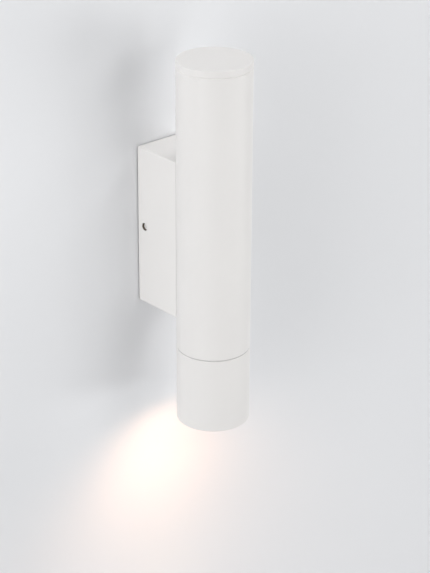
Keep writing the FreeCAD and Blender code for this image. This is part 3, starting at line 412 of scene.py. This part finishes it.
# Carrier with its cut thread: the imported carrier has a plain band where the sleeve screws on

def makeThreadedCarrier():
    # the V opens a little proud of the crest, and takes up most of the pitch there
    thread = {"pitch": 1.5, "crest": 28.25, "depth": 0.62, "proud": 0.1, "mouth": 0.92,
              "turns": 8, "steps": 96, "foot": -102.6, "weld": 0.001, "smoothAngle": 28}
    pick([nodes["lamp_carrier"]])
    bpy.ops.object.duplicate()
    carrier = bpy.context.active_object
    carrier.name = carrier.data.name = "threadedCarrier"
    bpy.ops.object.mode_set(mode="EDIT")
    bpy.ops.mesh.select_all(action="SELECT")
    bpy.ops.mesh.remove_doubles(threshold=thread["weld"] * mm)
    bpy.ops.object.mode_set(mode="OBJECT")

    # one V of the groove, wound up the axis
    bpy.ops.mesh.primitive_circle_add(vertices=3, radius=1 * mm,
                                      location=(tubeAxis.x, tubeAxis.y, thread["foot"] * mm))
    groove = bpy.context.active_object
    bpy.ops.object.mode_set(mode="EDIT")
    mesh = bmesh.from_edit_mesh(groove.data)
    half = thread["pitch"] * thread["mouth"] / 2
    corners = [(thread["crest"] - thread["depth"], 0),
               (thread["crest"] + thread["proud"], half),
               (thread["crest"] + thread["proud"], -half)]
    for vertex, (radius, height) in zip(mesh.verts, corners):
        vertex.co = (radius * mm, 0, height * mm)
    bmesh.update_edit_mesh(groove.data)
    bpy.ops.mesh.select_all(action="SELECT")
    bpy.ops.mesh.edge_face_add()
    bpy.ops.object.mode_set(mode="OBJECT")
    winding = groove.modifiers.new("winding", "SCREW")
    winding.axis = "Z"
    winding.screw_offset = thread["pitch"] * mm
    winding.iterations = thread["turns"]
    winding.steps = winding.render_steps = thread["steps"]
    winding.use_merge_vertices = True
    applyModifiers(groove)
    bpy.ops.object.mode_set(mode="EDIT")
    bpy.ops.mesh.select_all(action="SELECT")
    bpy.ops.mesh.remove_doubles(threshold=thread["weld"] * mm)
    bpy.ops.mesh.normals_make_consistent(inside=False)
    bpy.ops.object.mode_set(mode="OBJECT")
    applyPlace(groove)

    cutThread = carrier.modifiers.new("cutThread", "BOOLEAN")
    cutThread.operation = "DIFFERENCE"
    cutThread.object = groove
    applyModifiers(carrier)
    bpy.data.objects.remove(groove)
    bpy.ops.mesh.customdata_custom_splitnormals_clear()
    bpy.ops.object.shade_smooth_by_angle(angle=math.radians(thread["smoothAngle"]))
    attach(carrier, "fixture")
    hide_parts("lamp_carrier")
    print("threaded carrier:", len(carrier.data.polygons), "faces")


# Lens with the ring steps that such lamps have moulded into the face

def makeRibbedLens():
    # the rings step in nearly to the middle; each step takes half of its drop, so that the face
    # ends 0.6 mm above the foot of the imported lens
    lens = {"edge": 21.9, "steps": 7, "stepDepth": 0.28, "stepShare": 0.98, "rimHeight": 1.2,
            "rimWidth": 0.9, "short": 0.05, "sides": 128, "tolerance": 0.01,
            "bevel": 0.12, "bevelAngle": 8, "smoothAngle": 35}
    low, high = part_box("lamp_lens")
    halfRim = lens["rimHeight"] / 2 * mm
    bpy.ops.mesh.primitive_cylinder_add(vertices=lens["sides"], radius=(high.x - low.x) / 2,
                                        depth=lens["rimHeight"] * mm,
                                        location=(tubeAxis.x, tubeAxis.y, high.z - halfRim))
    face = bpy.context.active_object
    face.name = face.data.name = "ribbedLens"
    bpy.ops.object.mode_set(mode="EDIT")
    selectVertices(face, lambda co: co.z < lens["tolerance"] * mm - halfRim)
    bpy.ops.mesh.inset(thickness=lens["rimWidth"] * mm)
    stepWidth = lens["edge"] / lens["steps"] / 2 * lens["stepShare"]
    drop = (high.z - low.z) / mm - lens["rimHeight"] - lens["short"]
    for step in range(lens["steps"] * 2 - 2):
        # narrow rings alternate: one leans down towards the middle, the next steps back
        down = drop / lens["steps"] + lens["stepDepth"] if step % 2 == 0 else -lens["stepDepth"]
        bpy.ops.mesh.extrude_region_move(TRANSFORM_OT_translate={"value": (0, 0, 0)})
        shrink = (lens["edge"] - (step + 1) * stepWidth) / (lens["edge"] - step * stepWidth)
        bpy.ops.transform.resize(value=(shrink, shrink, 1))
        bpy.ops.transform.translate(value=(0, 0, -down / 2 * mm))
    bpy.ops.object.mode_set(mode="OBJECT")
    soften = face.modifiers.new("soften", "BEVEL")
    soften.width = lens["bevel"] * mm
    soften.segments = 2
    soften.limit_method = "ANGLE"
    soften.angle_limit = math.radians(lens["bevelAngle"])
    applyModifiers(face)
    applyPlace(face)
    bpy.ops.object.shade_smooth_by_angle(angle=math.radians(lens["smoothAngle"]))
    face.data.materials.append(lensPlastic)
    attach(face, "lamp")
    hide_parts("lamp_lens")
    print("ribbed lens:", len(face.data.polygons), "faces")


makeThreadedCarrier()
makeRibbedLens()


# Wall, floor, light and camera

def paintedPlaster():
    # emulsion rolled on plaster: cool off-white, with a roller stipple of 5 mm. It is seen from
    # the room only, so that a view from behind shows the light's back
    look = {"colour": "#ecedef", "roughness": 0.85, "stipple": 5, "stippleHeight": 0.07,
            "grain": 1.2, "grainHeight": 0.03}
    material, tree, place, shader = startMaterial("paintedPlaster")
    stipple = addNode(tree, "ShaderNodeTexNoise", values={"Scale": perMetre(look["stipple"]), "Detail": 2},
                      links={"Vector": place})
    grain = addNode(tree, "ShaderNodeTexNoise", values={"Scale": perMetre(look["grain"]), "Detail": 2},
                    links={"Vector": place})
    lumpy = addNode(tree, "ShaderNodeBump", values={"Distance": look["stippleHeight"] * mm},
                    links={"Height": stipple.outputs["Fac"]})
    fine = addNode(tree, "ShaderNodeBump", values={"Distance": look["grainHeight"] * mm},
                   links={"Height": grain.outputs["Fac"], "Normal": lumpy.outputs["Normal"]})
    setShader(tree, shader, {"Base Color": linear(look["colour"]), "Roughness": look["roughness"]},
              {"Normal": fine.outputs["Normal"]})
    side = addNode(tree, "ShaderNodeNewGeometry")
    clear = addNode(tree, "ShaderNodeBsdfTransparent")
    oneSided = addNode(tree, "ShaderNodeMixShader", links={
        0: side.outputs["Backfacing"], 1: shader.outputs["BSDF"], 2: clear.outputs["BSDF"]})
    output = next(node for node in tree.nodes if node.type == "OUTPUT_MATERIAL")
    tree.links.new(oneSided.outputs["Shader"], output.inputs["Surface"])
    return material


def makeStage():
    # in metres; the wall stands a tenth of a millimetre behind the light
    stage = {"wall": 4.0, "opening": (0.041, 0.132), "behind": 0.0001, "floorDepth": 1.7, "floor": 6.0}
    acrossHole, upHole = stage["opening"]
    plaster = paintedPlaster()
    # the wall is open behind the box, where no view from the room reaches
    bpy.ops.mesh.primitive_plane_add(size=1, location=(0, stage["behind"], 0),
                                     rotation=(math.pi / 2, 0, 0))
    wall = bpy.context.active_object
    wall.name = "stageWall"
    bpy.ops.transform.resize(value=(acrossHole, 1, upHole))
    bpy.ops.object.mode_set(mode="EDIT")
    bpy.ops.mesh.select_all(action="SELECT")
    bpy.ops.mesh.delete(type="ONLY_FACE")
    bpy.ops.mesh.select_all(action="SELECT")
    bpy.ops.mesh.extrude_edges_move(TRANSFORM_OT_translate={"value": (0, 0, 0)})
    bpy.ops.transform.resize(value=(stage["wall"] / acrossHole, 1, stage["wall"] / upHole))
    bpy.ops.object.mode_set(mode="OBJECT")
    applyPlace(wall)
    bpy.ops.mesh.primitive_plane_add(size=stage["floor"], location=(0, 0, -stage["floorDepth"]))
    floor = bpy.context.active_object
    floor.name = "stageFloor"
    applyPlace(floor)
    for surface in (wall, floor):
        surface.data.materials.append(plaster)
    # the wall must face the room
    if wall.data.polygons[0].normal.y > 0:
        pick([wall])
        bpy.ops.object.mode_set(mode="EDIT")
        bpy.ops.mesh.select_all(action="SELECT")
        bpy.ops.mesh.flip_normals()
        bpy.ops.object.mode_set(mode="OBJECT")
    print("stage: wall and floor")


def aim(thing, target):
    thing.rotation_mode = "QUATERNION"
    thing.rotation_quaternion = (Vector(target) - thing.location).to_track_quat("-Z", "Y")


def outwards(azimuth, elevation):
    # the direction out into the room; azimuth 0 is straight out from the wall, 90 to the right
    across, up = math.radians(azimuth), math.radians(elevation)
    return Vector((math.sin(across) * math.cos(up), -math.cos(across) * math.cos(up), math.sin(up)))


def makeLights():
    # near and far soft boxes keep the tube even from edge to edge; each stands at an azimuth from
    # straight out of the wall, to the right, and at an elevation, in degrees
    nearBoxes = {"leftBox": {"from": (-60, 5), "watts": 4.97},
                 "topLeftBox": {"from": (-75, 55), "watts": 5.7},
                 "frontBox": {"from": (0, -15), "watts": 3.4},
                 "rightBox": {"from": (15, 5), "watts": 6.0}}
    farBoxes = {"leftAbove": {"from": (-30, 45), "strength": 0.246},
                "leftEdge": {"from": (-75, 0), "strength": 0.437},
                "leftHigh": {"from": (-75, 20), "strength": 0.763},
                "rightFront": {"from": (30, 20), "strength": 0.33},
                "rightLow": {"from": (45, -20), "strength": 0.96},
                "rightHigh": {"from": (75, 45), "strength": 1.175}}
    # metres; a far box lights the same wherever its object stands
    near = {"distance": 1.9, "size": 0.9}
    farAngle = math.radians(28)
    centre = Vector((0, -0.04, 0))
    # the lamp gives a wide glow, warm white, with a whiter beam in its middle
    beams = {"lampGlow": {"spread": 150, "watts": 0.064, "colour": "#ffc398"},
             "lampWide": {"spread": 120, "watts": 0.0515, "colour": "#ffc398"},
             "lampBeam": {"spread": 60, "watts": 0.0146, "colour": "#ffe3b4"},
             "lampCore": {"spread": 40, "watts": 0.009, "colour": "#ffe3b4"}}
    lamp = {"drop": 0.0006, "size": 0.04}
    # the sky gives no diffuse light, and is only seen and mirrored
    sky = {"colour": "#ffffff", "strength": 0, "backdrop": 0.93}
    for name, box in nearBoxes.items():
        bpy.ops.object.light_add(type="AREA", location=centre + outwards(*box["from"]) * near["distance"])
        softBox = bpy.context.active_object
        softBox.name = name
        softBox.data.shape = "DISK"
        softBox.data.size = near["size"]
        softBox.data.energy = box["watts"]
        softBox.visible_camera = False
        aim(softBox, centre)
    for name, box in farBoxes.items():
        bpy.ops.object.light_add(type="SUN", location=outwards(*box["from"]) * near["distance"])
        farBox = bpy.context.active_object
        farBox.name = name
        farBox.data.energy = box["strength"]
        farBox.data.angle = farAngle
        aim(farBox, (0, 0, 0))

    low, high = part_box("lamp_lens")
    for name, light in beams.items():
        bpy.ops.object.light_add(type="AREA", location=(tubeAxis.x, tubeAxis.y, low.z - lamp["drop"]))
        beam = bpy.context.active_object
        beam.name = name
        beam.data.shape = "DISK"
        beam.data.size = lamp["size"]
        beam.data.energy = light["watts"]
        beam.data.color = linear(light["colour"])[:3]
        beam.data.spread = math.radians(light["spread"])
        beam.visible_camera = False

    world = bpy.data.worlds.new("studio")
    bpy.context.scene.world = world
    world.use_nodes = True
    tree = world.node_tree
    tree.nodes.clear()
    rays = addNode(tree, "ShaderNodeLightPath")
    seen = rays.outputs["Is Camera Ray"]
    for kind in ("Is Glossy Ray", "Is Transmission Ray"):
        either = addNode(tree, "ShaderNodeMath", {"operation": "MAXIMUM"},
                         links={0: seen, 1: rays.outputs[kind]})
        seen = either.outputs["Value"]
    unseen = addNode(tree, "ShaderNodeBackground",
                     values={"Color": linear(sky["colour"]), "Strength": sky["strength"]})
    backdrop = addNode(tree, "ShaderNodeBackground",
                       values={"Color": linear(sky["colour"]), "Strength": sky["backdrop"]})
    both = addNode(tree, "ShaderNodeMixShader",
                   links={0: seen, 1: unseen.outputs["Background"],
                          2: backdrop.outputs["Background"]})
    addNode(tree, "ShaderNodeOutputWorld", links={"Surface": both.outputs["Shader"]})
    print("lights: soft boxes, lamp and sky")


def makeCamera():
    # from the left and above, with a long lens and nearly upright; angles in degrees, lens in mm
    view = {"at": (-0.96065, -1.13746, 0.63976), "azimuth": 41.954, "elevation": 25.279, "roll": 0.305,
            "lens": 124.3, "sensor": 36, "reach": 100}
    azimuth, elevation, roll = (math.radians(view[name]) for name in ("azimuth", "elevation", "roll"))
    forward = Vector((math.sin(azimuth) * math.cos(elevation), math.cos(azimuth) * math.cos(elevation),
                      -math.sin(elevation)))
    right = Vector((math.cos(azimuth), -math.sin(azimuth), 0))
    up = right.cross(forward)
    rightRolled = math.cos(roll) * right + math.sin(roll) * up
    upRolled = math.cos(roll) * up - math.sin(roll) * right
    bpy.ops.object.camera_add(location=(0, 0, 0))
    camera = bpy.context.active_object
    camera.name = "photoCamera"
    camera.data.lens = view["lens"]
    camera.data.sensor_width = view["sensor"]
    camera.data.clip_end = view["reach"]
    turn = Matrix((rightRolled, upRolled, -forward)).transposed().to_4x4()
    camera.matrix_world = Matrix.Translation(view["at"]) @ turn
    bpy.context.scene.camera = camera
    print("camera placed")


makeStage()
makeLights()
makeCamera()
bpy.context.scene.view_settings.view_transform = "Standard"
